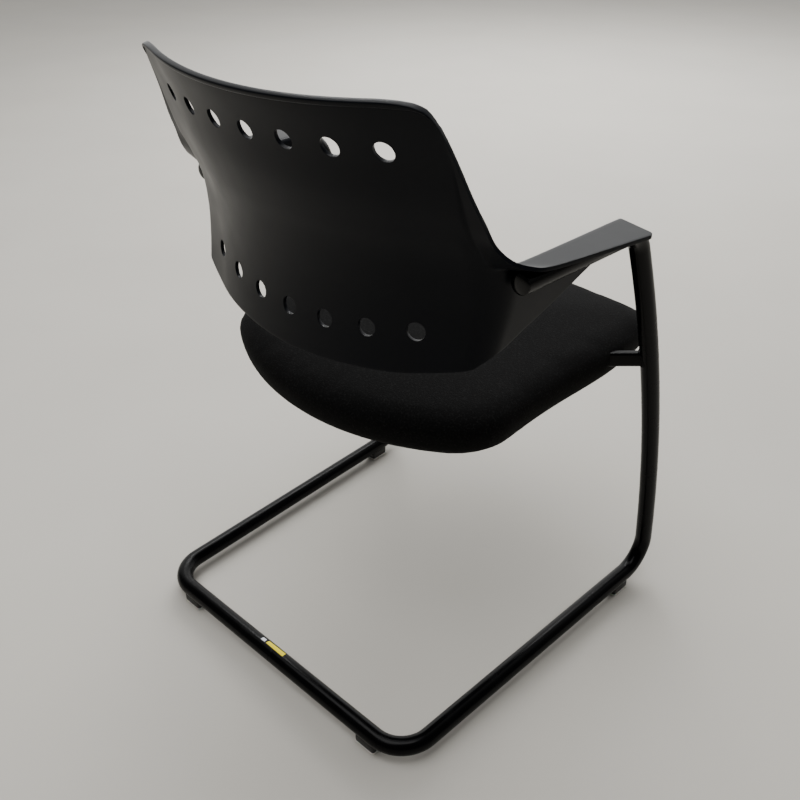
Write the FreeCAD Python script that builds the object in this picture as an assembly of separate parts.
import FreeCAD, Part
import math
import os

# Cantilever armchair: one bent steel tube frame, a moulded back shell that grows into the arm pads, and an
# upholstered seat on a cross tube between the legs. Millimetres, +Z up. The chair faces -Y, X = 0 is its plane
# of symmetry, and the origin lies on the floor below the middle of its length.

# Steel tube of the frame
tube_diameter = 25.0
tube_wall = 2.0
base_length = 562.0
rear_width = 500.0
side_toe = 2.1
side_lean = 1.0
glide_lift = 10.5
rear_corner_radius = 50.0
front_bend_radius = 45.0
top_bend_radius = 42.0
leg_angle_low = 7.8
leg_angle_high = 25.2
arm_tube_height = 633.0
arm_tube_length = 183.0
sleeve_length = 60.0
sleeve_wall = 1.5
sleeve_clearance = 0.1

# Plastic caps in the rear ends of the arm tubes
cap_flange = 2.0
cap_dome = 4.0
cap_plug_length = 14.0
cap_plug_clearance = 0.1
cap_plug_wall = 1.8

# Floor glides, their sliding pads and their pins
glide_length = 34.0
glide_width = 19.0
glide_saddle_clearance = 0.2
glide_pad_thickness = 1.6
glide_pad_margin = 1.0
rear_glide_offset = 190.0
front_glide_setback = 61.0
glide_pin_diameter = 4.0
glide_pin_clearance = 0.1
glide_pin_length = 14.0
glide_pin_head = 6.5
glide_pin_head_height = 2.0

# Cross tube between the legs and the flat rails welded below it
cross_height = 20.0
cross_depth = 12.0
cross_wall = 1.5
cross_top = 441.0
cross_bend_x = 225.0
cross_bend_angle = 43.5
cross_bend_radius = 25.0
cross_end_depth = 8.0
rail_width = 30.0
rail_thickness = 3.0
rail_spacing = 240.0
rail_length = 320.0
rail_front_overhang = 95.0

# Seat cushion
seat_front = -285.0
seat_depth = 477.0
seat_width = 469.0
seat_rear_rise = 87.0
seat_rear_corner = 86.0
seat_front_corner = 42.0
seat_front_rise = 12.0
seat_taper = 9.0
seat_tilt = 2.0
seat_bottom = 385.0
seat_waist = 415.0
seat_edge_rise = 28.0
seat_crown = 13.0
seat_bottom_tuck = 16.0
seat_top_tuck = 34.0
cover_thickness = 2.0
foam_clearance = 0.3
board_thickness = 8.0
board_inset = 30.0
board_clearance = 0.5
underside_thickness = 1.5
underside_clearance = 0.5
cover_slit_clearance = 1.0

# Fasteners of the seat
seat_screw_diameter = 6.0
seat_screw_length = 12.0
seat_screw_clearance = 0.3
seat_screw_head = 11.0
seat_screw_head_height = 3.5
seat_screw_inset = 24.0
washer_diameter = 16.0
washer_thickness = 1.5
tee_nut_barrel = 8.0
tee_nut_flange = 18.0
tee_nut_flange_thickness = 1.2
tee_nut_clearance = 0.1

# Back shell: height, place in depth and plan radius of its rear face at the middle
back_profile = [
    (475, 206.1, 469), (520, 199.8, 459), (560, 196.7, 446), (605, 198.4, 421), (656, 207.6, 411),
    (680, 214.6, 433), (710, 223.7, 462), (765, 239.6, 477), (811, 259.4, 455), (845, 274.5, 438)]
shell_wall = 4.5
back_curved_half = 165.0
back_top_height = 811.5
back_top_rise = 9.0
back_top_half = 192.0
lip_height = 6.5
lip_wall = 8.0
panel_lean = 5.4
panel_corner_radius_low = 20.0
panel_corner_radius_high = 60.0
panel_gap = 0.4
arm_pad_gap = 0.5
arm_pad_thickness = 4.5
arm_pad_ease = 9.0
arm_pad_tip_radius = 9.0
arm_pad_tip_x = 316.0
tub_overlap = 10.0
hole_diameter = 22.0
hole_pitch = 56.7
holes_per_row = 7
upper_hole_height = 763.2
upper_hole_rise = 5.2
lower_hole_height = 550.6
lower_hole_rise = 13.0

# Screws from the side panels into the arm tubes
shell_screw_diameter = 5.0
shell_screw_clearance = 0.2
shell_screw_head = 9.5
shell_screw_head_height = 2.6
shell_screw_length = 15.0
shell_screw_inset = 45.0
shell_screw_spacing = 80.0
rivet_nut_diameter = 8.0
rivet_nut_length = 9.0
rivet_nut_clearance = 0.1

V = FreeCAD.Vector
UP = V(0, 0, 1)
ORIGIN = V(0, 0, 0)

tube_radius = tube_diameter / 2
tube_height = glide_lift + tube_radius
rear_bar_y = base_length / 2 - tube_radius
front_reach = base_length - tube_diameter


def mirrored(shape):
    return shape.mirror(ORIGIN, V(1, 0, 0))


def opposite(point):
    """The mirror image of a point on the other side of the chair."""
    return V(-point.x, point.y, point.z)


def line(start, end):
    return Part.LineSegment(start, end).toShape()


def arc(start, middle, end):
    return Part.Arc(start, middle, end).toShape()


def rod(diameter, length, start, direction):
    return Part.makeCylinder(diameter / 2, length, start, direction)


def loft(wires, ruled):
    return Part.makeLoft(wires, True, ruled)


def fused(shapes):
    return shapes[0].multiFuse(shapes[1:]) if len(shapes) > 1 else shapes[0]


def save(name, shape):
    """Write one sub-part as a STEP file after a check that it is sound."""
    if not shape.isValid() or not shape.Solids:
        raise ValueError(name + " is not a sound solid")
    shape.exportStep("parts/" + name + ".step")
    print(name, len(shape.Solids), "solids", round(shape.Volume / 1000, 2), "cm3")


def save_pair(name, left_shape):
    save("left_" + name, left_shape)
    save("right_" + name, mirrored(left_shape))


# The left side frame is a flat curve in a plane that leans out and spreads forwards
toe = math.radians(side_toe)
lean = math.radians(side_lean)
side_origin = V(rear_width / 2, rear_bar_y, tube_height)
side_forward = V(math.sin(toe), -math.cos(toe), 0)
side_level = V(math.cos(toe), math.sin(toe), 0)
side_up = side_level * math.sin(lean) + UP * math.cos(lean)


def side_point(forward, rise):
    """A point of the left side frame, from its place in its own plane."""
    return side_origin + side_forward * forward + side_up * rise


def side_rise(z):
    """The rise in the side plane of a point at height z."""
    return (z - tube_height) / side_up.z


# Bends of the side frame, placed so that the arm tube is level at its height
leg_low = math.radians(leg_angle_low)
leg_high = math.radians(leg_angle_high)
arm_rise = side_rise(arm_tube_height)
front_bend_forward = front_reach - front_bend_radius
leg_start_forward = front_bend_forward + front_bend_radius * math.cos(leg_low)
leg_start_rise = front_bend_radius * (1 + math.sin(leg_low))
leg_end_rise = arm_rise - top_bend_radius * (1 - math.sin(leg_high))
leg_radius = (leg_end_rise - leg_start_rise) / (math.sin(leg_high) - math.sin(leg_low))
leg_centre_forward = leg_start_forward - leg_radius * math.cos(leg_low)
leg_centre_rise = leg_start_rise - leg_radius * math.sin(leg_low)
top_bend_forward = leg_centre_forward + (leg_radius - top_bend_radius) * math.cos(leg_high)
arm_tube_rear = side_point(top_bend_forward - arm_tube_length, arm_rise)


def side_arc(forward, rise, radius, angle_from, angle_to):
    """An arc in the side plane, its angles measured from the forward direction."""
    angles = [angle_from, (angle_from + angle_to) / 2, angle_to]
    return arc(*[side_point(forward + radius * math.cos(a), rise + radius * math.sin(a)) for a in angles])


def half_frame_path():
    """Centre line of the left half: rear bar, corner, runner, front bend, leg, top bend and arm tube."""
    turn = math.acos(side_forward.x)
    setback = rear_corner_radius * math.tan(turn / 2)
    bar_end = side_origin - V(setback, 0, 0)
    runner_start = side_origin + side_forward * setback
    inward = (side_forward - V(1, 0, 0)).normalize()
    corner_middle = side_origin + inward * (rear_corner_radius / math.cos(turn / 2) - rear_corner_radius)
    top_bend_start = side_point(top_bend_forward, arm_rise)
    return Part.Wire([
        line(V(0, rear_bar_y, tube_height), bar_end),
        arc(bar_end, corner_middle, runner_start),
        line(runner_start, side_point(front_bend_forward, 0)),
        side_arc(front_bend_forward, front_bend_radius, front_bend_radius, -math.pi / 2, leg_low),
        side_arc(leg_centre_forward, leg_centre_rise, leg_radius, leg_low, leg_high),
        side_arc(top_bend_forward, arm_rise - top_bend_radius, top_bend_radius, leg_high, math.pi / 2),
        line(top_bend_start, arm_tube_rear),
    ])


def round_sweep(path, radius):
    start = path.Edges[0].Vertexes[0].Point
    profile = Part.Wire(Part.makeCircle(radius, start, V(1, 0, 0)))
    return path.makePipeShell([profile], True, False)


frame_outer = round_sweep(half_frame_path(), tube_radius)
frame_bore = round_sweep(half_frame_path(), tube_radius - tube_wall)

sleeve_radius = tube_radius - tube_wall - sleeve_clearance
sleeve_start = V(-sleeve_length / 2, rear_bar_y, tube_height)
joint_sleeve = rod(2 * sleeve_radius, sleeve_length, sleeve_start, V(1, 0, 0))
joint_sleeve = joint_sleeve.cut(rod(2 * (sleeve_radius - sleeve_wall), sleeve_length, sleeve_start, V(1, 0, 0)))


# Domed end cap with a hollow plug inside the arm tube
def arm_cap():
    back = side_forward * -1
    plug_radius = tube_radius - tube_wall - cap_plug_clearance
    plug = rod(2 * plug_radius, cap_plug_length, arm_tube_rear, side_forward)
    plug = plug.cut(rod(2 * (plug_radius - cap_plug_wall), cap_plug_length, arm_tube_rear, side_forward))
    flange = rod(tube_diameter, cap_flange, arm_tube_rear, back)
    dome_seat = arm_tube_rear + back * cap_flange
    tip = dome_seat + back * cap_dome
    dome_radius = (tube_radius ** 2 + cap_dome ** 2) / (2 * cap_dome)
    half_angle = math.asin(tube_radius / dome_radius) / 2
    shoulder = tip - back * (dome_radius * (1 - math.cos(half_angle)))
    rim = dome_seat + UP * tube_radius
    section = Part.Face(Part.Wire([arc(tip, shoulder + UP * (dome_radius * math.sin(half_angle)), rim),
                                   line(rim, dome_seat), line(dome_seat, tip)]))
    dome = section.revolve(dome_seat, back, 360)
    return fused([plug, flange, dome]).removeSplitter()


# Floor glides: a block with a saddle for the tube, a pin up into the tube, and a sliding pad below
def level_block(centre, along, length, width, bottom, top):
    """A box that is centred on a point in plan and turned to lie along a direction."""
    block = Part.makeBox(length, width, top - bottom, V(-length / 2, -width / 2, 0))
    block.rotate(ORIGIN, UP, math.degrees(math.atan2(along.y, along.x)))
    block.translate(V(centre.x, centre.y, bottom))
    return block


def glide_set(centre, along):
    """Body, pad, pin and pin hole of one glide below a point of the tube's centre line."""
    body = level_block(centre, along, glide_length, glide_width, glide_pad_thickness, tube_height)
    saddle_start = centre - along * glide_length
    body = body.cut(rod(tube_diameter + 2 * glide_saddle_clearance, 2 * glide_length, saddle_start, along))
    head_seat = V(centre.x, centre.y, glide_pad_thickness)
    shank_seat = head_seat + UP * glide_pin_head_height
    pin = rod(glide_pin_head, glide_pin_head_height, head_seat, UP)
    pin = pin.fuse(rod(glide_pin_diameter, glide_pin_length, shank_seat, UP))
    hole = rod(glide_pin_diameter + 2 * glide_pin_clearance, glide_pin_length, shank_seat, UP)
    body = body.cut(hole)
    body = body.cut(rod(glide_pin_head + 2 * glide_pin_clearance, glide_pin_head_height, head_seat, UP))
    pad_length = glide_length - 2 * glide_pad_margin
    pad_width = glide_width - 2 * glide_pad_margin
    pad = level_block(centre, along, pad_length, pad_width, 0, glide_pad_thickness)
    return body, pad, pin, hole


rear_body, rear_pad, rear_pin, rear_hole = glide_set(V(rear_glide_offset, rear_bar_y, tube_height), V(1, 0, 0))
front_glide_place = side_point(front_reach - front_glide_setback, 0)
front_body, front_pad, front_pin, front_hole = glide_set(front_glide_place, side_forward)
glide_pins = [rear_pin, front_pin, mirrored(rear_pin), mirrored(front_pin)]


# Cross tube: it leaves each leg inwards and rearwards, then runs straight across between the seat boards
cross_z = cross_top - cross_height / 2
leg_joint_rise = side_rise(cross_z)
leg_joint_forward = leg_centre_forward + math.sqrt(leg_radius ** 2 - (leg_joint_rise - leg_centre_rise) ** 2)
leg_joint = side_point(leg_joint_forward, leg_joint_rise)
cross_angle = math.radians(cross_bend_angle)
cross_slant = V(-math.cos(cross_angle), math.sin(cross_angle), 0)
cross_knee = leg_joint + cross_slant * ((leg_joint.x - cross_bend_x) / math.cos(cross_angle))
cross_y = cross_knee.y


def cross_path():
    setback = cross_bend_radius * math.tan(cross_angle / 2)
    slant_end = cross_knee - cross_slant * setback
    level_end = cross_knee - V(setback, 0, 0)
    inward = (cross_slant * -1 - V(1, 0, 0)).normalize()
    bulge = cross_bend_radius / math.cos(cross_angle / 2) - cross_bend_radius
    middle = cross_knee + inward * bulge
    return Part.Wire([
        line(opposite(leg_joint), opposite(slant_end)),
        arc(opposite(slant_end), opposite(middle), opposite(level_end)),
        line(opposite(level_end), level_end),
        arc(level_end, middle, slant_end),
        line(slant_end, leg_joint),
    ])


def cross_sweep(depth, top, bottom):
    """The cross tube's rectangle carried along its path."""
    start = opposite(leg_joint)
    across = V(cross_slant.y, -cross_slant.x, 0) * (depth / 2)
    across = opposite(across)
    high = UP * (top - start.z)
    low = UP * (bottom - start.z)
    corners = [start + high + across, start + high - across, start + low - across, start + low + across]
    return cross_path().makePipeShell([Part.makePolygon(corners + [corners[0]])], True, False)


both_frames = frame_outer.fuse(mirrored(frame_outer))
cross_tube = cross_sweep(cross_depth, cross_top, cross_top - cross_height)
cross_tube = cross_tube.cut(cross_sweep(cross_depth - 2 * cross_wall, cross_top - cross_wall,
                                        cross_top - cross_height + cross_wall))
cross_half = leg_joint.x - tube_radius + cross_end_depth
cross_room = Part.makeBox(2 * cross_half, base_length, cross_top, V(-cross_half, seat_front, 0))
cross_tube = cross_tube.common(cross_room)
cross_tube = max(cross_tube.cut(both_frames).Solids, key=lambda solid: solid.Volume)

rail_top = cross_top - cross_height
rail_bottom = rail_top - rail_thickness
rail_front = cross_y - rail_front_overhang


def at_seat_screws(diameter, length, z):
    """Four upright cylinders, one at each seat screw."""
    ys = [rail_front + seat_screw_inset, rail_front + rail_length - seat_screw_inset]
    places = [V(x, y, z) for x in (-rail_spacing / 2, rail_spacing / 2) for y in ys]
    return Part.makeCompound([rod(diameter, length, place, UP) for place in places])


rail = Part.makeBox(rail_width, rail_length, rail_thickness,
                    V(rail_spacing / 2 - rail_width / 2, rail_front, rail_bottom))
rail = rail.cut(at_seat_screws(seat_screw_diameter + 2 * seat_screw_clearance, rail_thickness, rail_bottom))

# Seat outline in plan: bowed rear edge, wide rear corners, sides that draw in forwards, bowed front edge
seat_half = seat_width / 2
seat_middle_y = seat_front + seat_depth / 2


def seat_outline(inset, z):
    """Closed wire of the seat's outline, drawn in on all sides by inset."""
    rear = seat_front + seat_depth
    rear_radius = (seat_half ** 2 + seat_rear_rise ** 2) / (2 * seat_rear_rise)
    rear_centre_y = rear - rear_radius
    corner_x = seat_half - seat_rear_corner
    corner_y = rear_centre_y + math.sqrt((rear_radius - seat_rear_corner) ** 2 - corner_x ** 2)
    join_angle = math.atan2(corner_y - rear_centre_y, corner_x)
    front_half = seat_half - seat_taper
    front_x = front_half - seat_front_corner
    front_y = seat_front + seat_front_rise + seat_front_corner
    scale = 1 - inset / seat_half

    def at(x, y, side):
        return V(x * side * scale, seat_middle_y + (y - seat_middle_y) * scale, z)

    def rear_corner(angle, side):
        x = corner_x + seat_rear_corner * math.cos(angle)
        return at(x, corner_y + seat_rear_corner * math.sin(angle), side)

    def front_corner(angle, side):
        x = front_x + seat_front_corner * math.cos(angle)
        return at(x, front_y - seat_front_corner * math.sin(angle), side)

    def corner_arc(corner, angle_from, angle_to, side):
        angles = [angle_from, (angle_from + angle_to) / 2, angle_to]
        return arc(*[corner(a, side) for a in angles])

    right = math.pi / 2
    return Part.Wire([
        arc(rear_corner(join_angle, 1), at(0, rear, 1), rear_corner(join_angle, -1)),
        corner_arc(rear_corner, join_angle, 0, -1),
        line(rear_corner(0, -1), front_corner(0, -1)),
        corner_arc(front_corner, 0, right, -1),
        arc(front_corner(right, -1), at(0, seat_front, 1), front_corner(right, 1)),
        corner_arc(front_corner, right, 0, 1),
        line(front_corner(0, 1), rear_corner(0, 1)),
        corner_arc(rear_corner, 0, join_angle, 1),
    ])


def seat_prism(inset, bottom, top):
    return Part.Face(seat_outline(inset, bottom)).extrude(UP * (top - bottom))


def tilted(shape):
    """The same shape turned about the cushion's rear bottom edge, so that its front comes up."""
    turned = shape.copy()
    turned.rotate(V(0, seat_front + seat_depth, seat_bottom), V(1, 0, 0), -seat_tilt)
    return turned


def cushion_profile():
    """Section of the cushion from its bottom rim over the waist to the crown, as inset and height."""
    points = []
    for degrees in (78, 60, 45, 30, 15, 0):
        t = math.radians(degrees)
        low = seat_waist - (seat_waist - seat_bottom) * math.sin(t)
        points.append((seat_bottom_tuck * (1 - math.cos(t)), low))
    for degrees in (20, 40, 60, 75):
        t = math.radians(degrees)
        points.append((seat_top_tuck * (1 - math.cos(t)), seat_waist + seat_edge_rise * math.sin(t)))
    flat_half = seat_half - seat_top_tuck
    for part in (1.0, 0.85, 0.65, 0.4, 0.15):
        high = seat_waist + seat_edge_rise + seat_crown * (1 - part ** 2)
        points.append((seat_half - flat_half * part, high))
    return points


def cushion_form(shrink):
    """The cushion's form, smaller by shrink along its surface; a shrunk form also reaches down past the rim."""
    profile = cushion_profile()
    sections = []
    for i, (inset, z) in enumerate(profile):
        before = profile[max(i - 1, 0)]
        after = profile[min(i + 1, len(profile) - 1)]
        run = after[0] - before[0]
        climb = after[1] - before[1]
        length = math.hypot(run, climb)
        sections.append((inset + shrink * climb / length, z - shrink * run / length))
    if shrink:
        sections.insert(0, (sections[0][0], sections[0][1] - 4 * shrink))
    return loft([seat_outline(inset, z) for inset, z in sections], True)


cushion = tilted(cushion_form(0))
rim_inset, rim_height = cushion_profile()[0]
slit = cross_sweep(cross_depth + 2 * cover_slit_clearance, cross_top + cover_slit_clearance,
                   cross_top - cross_height - cover_slit_clearance)
seat_cover = cushion.cut(tilted(cushion_form(cover_thickness))).cut(slit)

underside_bottom = rim_height + underside_clearance
underside_top = underside_bottom + underside_thickness
underside_inset = rim_inset + cover_thickness + underside_clearance
underside = tilted(seat_prism(underside_inset, underside_bottom, underside_top))

# Two boards lie on the rails, one in front of the cross tube and one behind it
board_top = rail_top + board_thickness
boards = seat_prism(board_inset, rail_top, board_top)
boards = boards.cut(cross_sweep(cross_depth + 2 * board_clearance, board_top, rail_top))

# The foam is moulded round the cross tube, the rails, the boards and the fasteners
washer_bottom = rail_bottom - washer_thickness
head_bottom = washer_bottom - seat_screw_head_height
foam = cushion_form(cover_thickness + foam_clearance)
foam = tilted(foam.common(seat_prism(0, underside_top + underside_clearance, seat_waist + seat_depth)))
foam = foam.cut(seat_prism(board_inset - foam_clearance, rail_top - foam_clearance, board_top + foam_clearance))
foam = foam.cut(cross_sweep(cross_depth + 2 * foam_clearance, cross_top + foam_clearance,
                            cross_top - cross_height - foam_clearance))
rail_room = Part.makeBox(rail_width + 2 * foam_clearance, rail_length + 2 * foam_clearance,
                         rail_thickness + 2 * foam_clearance,
                         V(rail_spacing / 2 - rail_width / 2 - foam_clearance, rail_front - foam_clearance,
                           rail_bottom - foam_clearance))
foam = foam.cut(rail_room).cut(mirrored(rail_room))
foam = foam.cut(at_seat_screws(washer_diameter + 2 * foam_clearance, rail_top - head_bottom,
                               head_bottom - foam_clearance))

tee_flange_bottom = board_top - tee_nut_flange_thickness
boards = boards.cut(at_seat_screws(tee_nut_barrel + 2 * tee_nut_clearance, board_thickness, rail_top))
boards = boards.cut(at_seat_screws(tee_nut_flange + 2 * tee_nut_clearance, tee_nut_flange_thickness,
                                   tee_flange_bottom))
front_board, rear_board = sorted(boards.Solids, key=lambda solid: solid.BoundBox.YMin)

hole_through = seat_screw_diameter + 2 * seat_screw_clearance
washers = at_seat_screws(washer_diameter, washer_thickness, washer_bottom)
washers = washers.cut(at_seat_screws(hole_through, washer_thickness, washer_bottom))
seat_screws = at_seat_screws(seat_screw_diameter, seat_screw_length, washer_bottom)
screw_heads = at_seat_screws(seat_screw_head, seat_screw_head_height, head_bottom)
seat_screws = Part.makeCompound([a.fuse(b) for a, b in zip(seat_screws.Solids, screw_heads.Solids)])
tee_nuts = at_seat_screws(tee_nut_barrel, tee_flange_bottom - rail_top, rail_top)
tee_flanges = at_seat_screws(tee_nut_flange, tee_nut_flange_thickness, tee_flange_bottom)
tee_nuts = Part.makeCompound([a.fuse(b) for a, b in zip(tee_nuts.Solids, tee_flanges.Solids)])
tee_nuts = tee_nuts.cut(at_seat_screws(seat_screw_diameter + 2 * tee_nut_clearance, board_thickness, rail_top))

# Back shell. Each level of its rear face is an arc that runs on as a straight tangent; at the arms' height and
# below, a rounded corner joins that to a side panel, which leans out and lies flat against the arm tube
panel_angle = math.radians(panel_lean)
panel_inward = side_level * -math.cos(panel_angle) + UP * math.sin(panel_angle)
pad_bottom = arm_tube_height + tube_radius + arm_pad_gap
tub_low = back_profile[0][0]
tub_high = pad_bottom + tub_overlap
flank_rise = back_top_height - pad_bottom


def back_level(z):
    """Depth of the rear face's middle, its plan radius, and the angle at which its arc ends, at height z."""
    below = max(row for row in back_profile[:-1] if row[0] <= z)
    above = min(row for row in back_profile[1:] if row[0] > below[0])
    part = (z - below[0]) / (above[0] - below[0])
    middle_y = below[1] + (above[1] - below[1]) * part
    radius = below[2] + (above[2] - below[2]) * part
    return middle_y, radius, math.asin(back_curved_half / radius)


def back_point(x, z, inset=0.0):
    """A point on the rear face, or inset forwards of it, by its distance x from the middle before the inset."""
    middle_y, radius, end_angle = back_level(z)
    angle = math.copysign(min(math.asin(min(abs(x) / radius, 1)), end_angle), x)
    point = V(radius * math.sin(angle), middle_y - radius + radius * math.cos(angle), z)
    along = V(math.cos(angle), -math.sin(angle), 0)
    outward = V(math.sin(angle), math.cos(angle), 0)
    return point + along * ((x - point.x) / along.x) - outward * inset


def back_slope(z):
    """How far the rear face moves rearwards for each unit of height."""
    return (back_level(z + 5)[0] - back_level(z - 5)[0]) / 10


def back_normal(x, z):
    """Outward direction of the rear face."""
    radius, end_angle = back_level(z)[1:]
    angle = math.copysign(min(math.asin(min(abs(x) / radius, 1)), end_angle), x)
    return V(math.sin(angle), math.cos(angle), -back_slope(z)).normalize()


def panel_line_point(y, z, inset):
    """A point on the outer face of the left side panel, or inset inwards of it in plan."""
    offset = (arm_tube_rear + panel_inward * (tube_radius + panel_gap)).dot(panel_inward)
    x = (offset - panel_inward.y * y - panel_inward.z * z) / panel_inward.x
    return V(x, y, z) - side_level * inset


def tub_outline(z, inset, panel_front):
    """Panel end, panel tangent, corner middle, back tangent and arc end of one face of the tub at height z."""
    grow = (z - tub_low) / (tub_high - tub_low)
    corner_radius = panel_corner_radius_low + (panel_corner_radius_high - panel_corner_radius_low) * grow
    end_angle = back_level(z)[2]
    along_back = V(math.cos(end_angle), -math.sin(end_angle), 0)
    out_of_back = V(math.sin(end_angle), math.cos(end_angle), 0)
    arc_end = back_point(back_curved_half, z)
    panel_end = panel_line_point(panel_front, z, 0)
    gap = panel_end - arc_end
    cross = along_back.x * side_forward.y - along_back.y * side_forward.x
    reach = (gap.x * side_forward.y - gap.y * side_forward.x) / cross
    turn = math.acos(along_back.dot(side_forward))
    back_tangent = arc_end + along_back * (reach - corner_radius * math.tan(turn / 2))
    centre = back_tangent - out_of_back * corner_radius
    bisector = (out_of_back + side_level).normalize()
    radius = corner_radius - inset
    return [panel_end - side_level * inset, centre + side_level * radius, centre + bisector * radius,
            centre + out_of_back * radius, arc_end - out_of_back * inset]


def tub_section(z, panel_front):
    """Closed outline of the tub's wall at height z."""
    edges = []
    for inset in (0, shell_wall):
        left = tub_outline(z, inset, panel_front)
        right = [opposite(point) for point in left]
        middle = V(0, back_level(z)[0] - inset, z)
        run = [line(left[0], left[1]), arc(left[1], left[2], left[3]), line(left[3], left[4]),
               arc(left[4], middle, right[4]), line(right[4], right[3]), arc(right[3], right[2], right[1]),
               line(right[1], right[0])]
        edges.append((run, left[0], right[0]))
    (outer, outer_left, outer_right), (inner, inner_left, inner_right) = edges
    return Part.Wire(outer + [line(outer_right, inner_right)] + inner[::-1] + [line(inner_left, outer_left)])


def slab_section(z, half, inset_from, inset_to):
    """A closed strip of the back between two insets at height z."""
    edges = []
    for inset in (inset_from, inset_to):
        ends = [back_point(x, z, inset) for x in (-half, -back_curved_half, 0, back_curved_half, half)]
        edges.append(([line(ends[0], ends[1]), arc(ends[1], ends[2], ends[3]), line(ends[3], ends[4])], ends))
    (outer, outer_ends), (inner, inner_ends) = edges
    return Part.Wire(outer + [line(outer_ends[4], inner_ends[4])] + inner[::-1]
                     + [line(inner_ends[0], outer_ends[0])])


def prism(points, direction, length):
    """A polygon's face carried along a direction, to both sides of where it is drawn."""
    face = Part.Face(Part.makePolygon(points + [points[0]]))
    face.translate(direction * (-length / 2))
    return face.extrude(direction * length)


shell_room = 600.0
panel_front_limit = -100.0
levels = [row[0] for row in back_profile]
tub_levels = [z for z in levels if z < tub_high - tub_overlap / 2] + [tub_high]
slab_levels = [tub_high] + [z for z in levels if z > tub_high + tub_overlap / 2]
tub = loft([tub_section(z, panel_front_limit) for z in tub_levels], False)

# Lower edge: a shallow bow across the back, then a rising diagonal along each side panel
bow_half = [(0, 500.5), (85, 504.8), (170, 514.0), (228, 529.5), (246, 537.0)]
bow = [V(-x, 0, z) for x, z in bow_half[:0:-1]] + [V(x, 0, z) for x, z in bow_half]
bow_curve = Part.BSplineCurve()
bow_curve.interpolate(bow)
drop = V(0, 0, tub_low - 50 - bow[0].z)
bow_face = Part.Face(Part.Wire([bow_curve.toShape(), line(bow[-1], bow[-1] + drop),
                                line(bow[-1] + drop, bow[0] + drop), line(bow[0] + drop, bow[0])]))
tub = tub.cut(bow_face.extrude(V(0, shell_room, 0)))
diagonal = [(141, 533), (127, 541), (111, 546.5), (98, 550.5), (77, 559.5), (43, 572), (8, 586), (-17, 597.5),
            (-40, 608), (-58, 620), (-66, 640)]
diagonal_points = [V(0, 141, tub_low - 50)] + [V(0, y, z) for y, z in diagonal]
diagonal_points += [V(0, -66, tub_high + 50), V(0, -200, tub_high + 50), V(0, -200, tub_low - 50)]
tub = tub.cut(prism(diagonal_points, V(1, 0, 0), shell_room))

# Upper edge of the side panels: level under the arm pads, rising to the back behind them
panel_top = pad_bottom + shell_wall / 2
panel_top_points = [V(0, -200, panel_top), V(0, 112, panel_top), V(0, 134, tub_high), V(0, 134, tub_high + 50),
                    V(0, -200, tub_high + 50)]
tub = tub.cut(prism(panel_top_points, V(1, 0, 0), shell_room))

# Upper back, trimmed in back view to its top edge, rounded corners and spreading sides
slab_half = 280.0
slab = loft([slab_section(z, slab_half, 0, shell_wall) for z in slab_levels], False)


def flank(share):
    """A height given as a share of the way from the arm pad up to the back's top edge."""
    return pad_bottom + flank_rise * share


side_edge = [(227.5, flank(0.912)), (236.5, flank(0.689)), (246, flank(0.447)), (250, flank(0.344)),
             (244, flank(0.29)), (235, flank(0.23)), (233.5, flank(0.145)), (233, tub_high - 5)]


def upper_outline(drop):
    """The back's outline in back view above the arms, lowered at the top by drop."""
    top = back_top_height - drop
    top_side = V(back_top_half, 0, top + back_top_rise)
    corner = V(back_top_half + 26, 0, top + back_top_rise - 9)
    side = V(side_edge[0][0], 0, side_edge[0][1] - drop)
    left = [V(x, 0, z) for x, z in side_edge[1:]]
    right = [opposite(point) for point in reversed(left)]
    edges = [arc(opposite(top_side), V(0, 0, top), top_side), arc(top_side, corner, side), line(side, left[0])]
    edges += [line(start, end) for start, end in zip(left + right, left[1:] + right)]
    edges += [line(right[-1], opposite(side)), arc(opposite(side), opposite(corner), opposite(top_side))]
    return Part.Face(Part.Wire(edges)).extrude(V(0, shell_room, 0))


slab = slab.common(upper_outline(0))

# Thick lip along the top edge
lip_half = back_top_half + 12
lip_excess = (lip_wall - shell_wall) / 2
lip = loft([slab_section(z, lip_half, -lip_excess, shell_wall + lip_excess) for z in slab_levels[-3:]], False)
lip = lip.common(upper_outline(0)).cut(upper_outline(lip_height))


# Flange and arm pad: one ribbon that leaves the back's side edge, turns and runs forwards over the arm tube
def ribbon_station(inner, outer, turn, thickness, ease):
    """Closed section of the ribbon above two points of its under face, its inner edge bevelled by ease."""
    forwards = back_normal(inner.x, inner.z) * -1
    through = (forwards * (1 - turn) + UP * turn).normalize() * thickness
    along = (outer - inner).normalize()
    return Part.makePolygon([inner, outer, outer + through, inner + through + along * ease,
                             inner + through * 0.3, inner])


def pad_station(y_inner, x_outer, y_outer):
    """A section of the arm pad, its inner end in the side panel."""
    inner = panel_line_point(y_inner, pad_bottom, shell_wall - 0.3)
    return ribbon_station(inner, V(x_outer, y_outer, pad_bottom), 1, arm_pad_thickness, arm_pad_ease)


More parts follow.
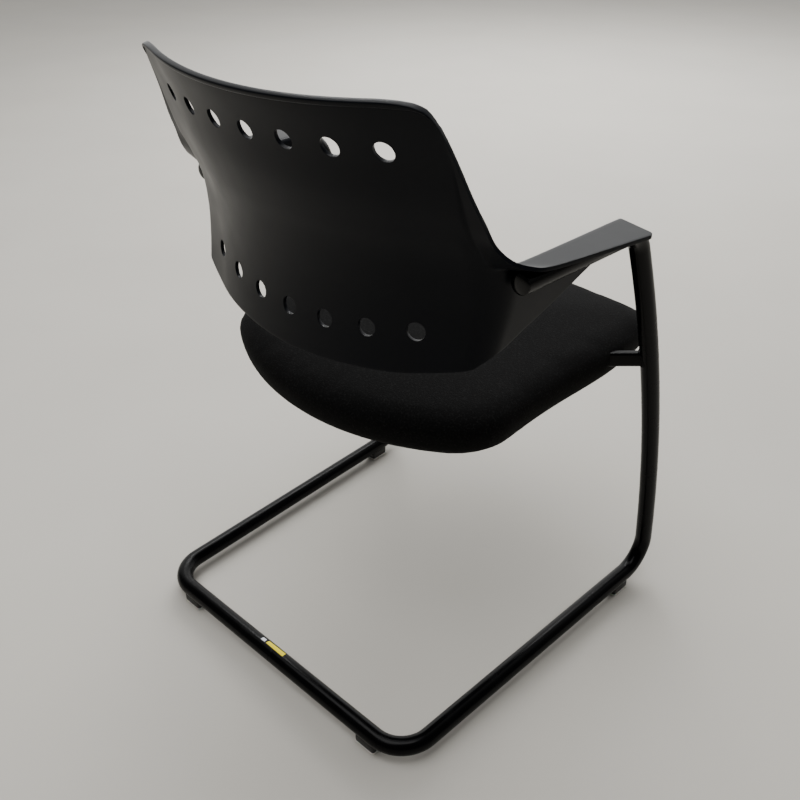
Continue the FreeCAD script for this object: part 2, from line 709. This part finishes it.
root_station = pad_station(100, 286.5, 87)
turn_stations = [
    ribbon_station(back_point(238, flank(0.375), 0.7), back_point(248.6, flank(0.375), 0.7), 0, 3.1, 1),
    ribbon_station(back_point(233.5, flank(0.29), 0.6), back_point(251.8, flank(0.29), 0.5), 0.02, 3.3, 1),
    ribbon_station(back_point(232, flank(0.205), 0.6), back_point(255.4, flank(0.205), 0.3), 0.06, 3.8, 1),
    ribbon_station(back_point(231.5, flank(0.121), 1.2), V(262, 139.5, flank(0.139)), 0.25,
                   arm_pad_thickness, 2),
    ribbon_station(V(235, 140, flank(0.042)), V(271, 130, flank(0.079)), 0.55, arm_pad_thickness, 4),
    ribbon_station(V(246, 120.5, flank(0.003)), V(279.5, 111, flank(0.027)), 0.88, arm_pad_thickness, 7),
    root_station,
]
arm_pad_tip = V(arm_pad_tip_x, -62, pad_bottom)
pad_stations = [root_station, pad_station(65, 292.5, 62), pad_station(-77, arm_pad_tip.x, arm_pad_tip.y)]
ribbon = loft(turn_stations, False).fuse(loft(pad_stations, True))
tip_edges = [edge for edge in ribbon.Edges
             if all(math.hypot(v.X - arm_pad_tip.x, v.Y - arm_pad_tip.y) < 1 for v in edge.Vertexes)]
ribbon = ribbon.makeFillet(arm_pad_tip_radius, tip_edges)

shell = fused([tub, slab, lip, ribbon, mirrored(ribbon)])


def hole_cutters():
    cutters = []
    for height, rise in ((upper_hole_height, upper_hole_rise), (lower_hole_height, lower_hole_rise)):
        for i in range(holes_per_row):
            step = i - (holes_per_row - 1) / 2
            x = step * hole_pitch
            z = height + rise * (step / ((holes_per_row - 1) / 2)) ** 2
            centre = back_point(x, z)
            axis = back_normal(x, z)
            cutters.append(rod(hole_diameter, 40, centre - axis * 25, axis))
    return Part.makeCompound(cutters)


shell = shell.cut(hole_cutters())


# Screws through the panels into rivet nuts in the arm tubes
def shell_screw_axis_point(i):
    return arm_tube_rear + side_forward * (shell_screw_inset + shell_screw_spacing * i)


def shell_fasteners():
    screws, nuts, tube_holes, panel_holes = [], [], [], []
    for i in range(2):
        axis = shell_screw_axis_point(i)
        nut_start = axis + panel_inward * (tube_radius - rivet_nut_length)
        bore = shell_screw_diameter + 2 * shell_screw_clearance
        nut = rod(rivet_nut_diameter, rivet_nut_length, nut_start, panel_inward)
        nuts.append(nut.cut(rod(bore, rivet_nut_length, nut_start, panel_inward)))
        tube_holes.append(rod(rivet_nut_diameter + 2 * rivet_nut_clearance, tube_diameter, axis, panel_inward))
        head_seat = axis + panel_inward * (tube_radius + panel_gap + shell_wall)
        shank = rod(shell_screw_diameter, shell_screw_length, head_seat, panel_inward * -1)
        head = rod(shell_screw_head, shell_screw_head_height, head_seat, panel_inward)
        screws.append(shank.fuse(head))
        panel_holes.append(rod(bore, shell_wall * 3, head_seat - panel_inward * (2 * shell_wall), panel_inward))
    return screws, nuts, tube_holes, panel_holes


shell_screws, rivet_nuts, nut_holes, panel_holes = shell_fasteners()
panel_cuts = Part.makeCompound(panel_holes)
shell = shell.cut(panel_cuts).cut(mirrored(panel_cuts))
left_tube = frame_outer.cut(frame_bore).cut(Part.makeCompound([rear_hole, front_hole] + nut_holes))

os.makedirs("parts", exist_ok=True)
save_pair("frame_tube", left_tube)
save("joint_sleeve", joint_sleeve)
save("cross_tube", cross_tube)
save_pair("carrier_rail", rail)
save_pair("arm_cap", arm_cap())
save("back_shell", shell)
save_pair("rear_glide", rear_body)
save_pair("front_glide", front_body)
save_pair("rear_glide_pad", rear_pad)
save_pair("front_glide_pad", front_pad)
save("glide_pins", Part.makeCompound(glide_pins))
save("front_seat_board", front_board)
save("rear_seat_board", rear_board)
save("seat_foam", foam)
save("seat_cover", seat_cover)
save("underside_cover", underside)
save("seat_screws", seat_screws)
save("seat_washers", washers)
save("seat_tee_nuts", tee_nuts)
save("shell_screws", Part.makeCompound(shell_screws + [mirrored(screw) for screw in shell_screws]))
save("rivet_nuts", Part.makeCompound(rivet_nuts + [mirrored(nut) for nut in rivet_nuts]))
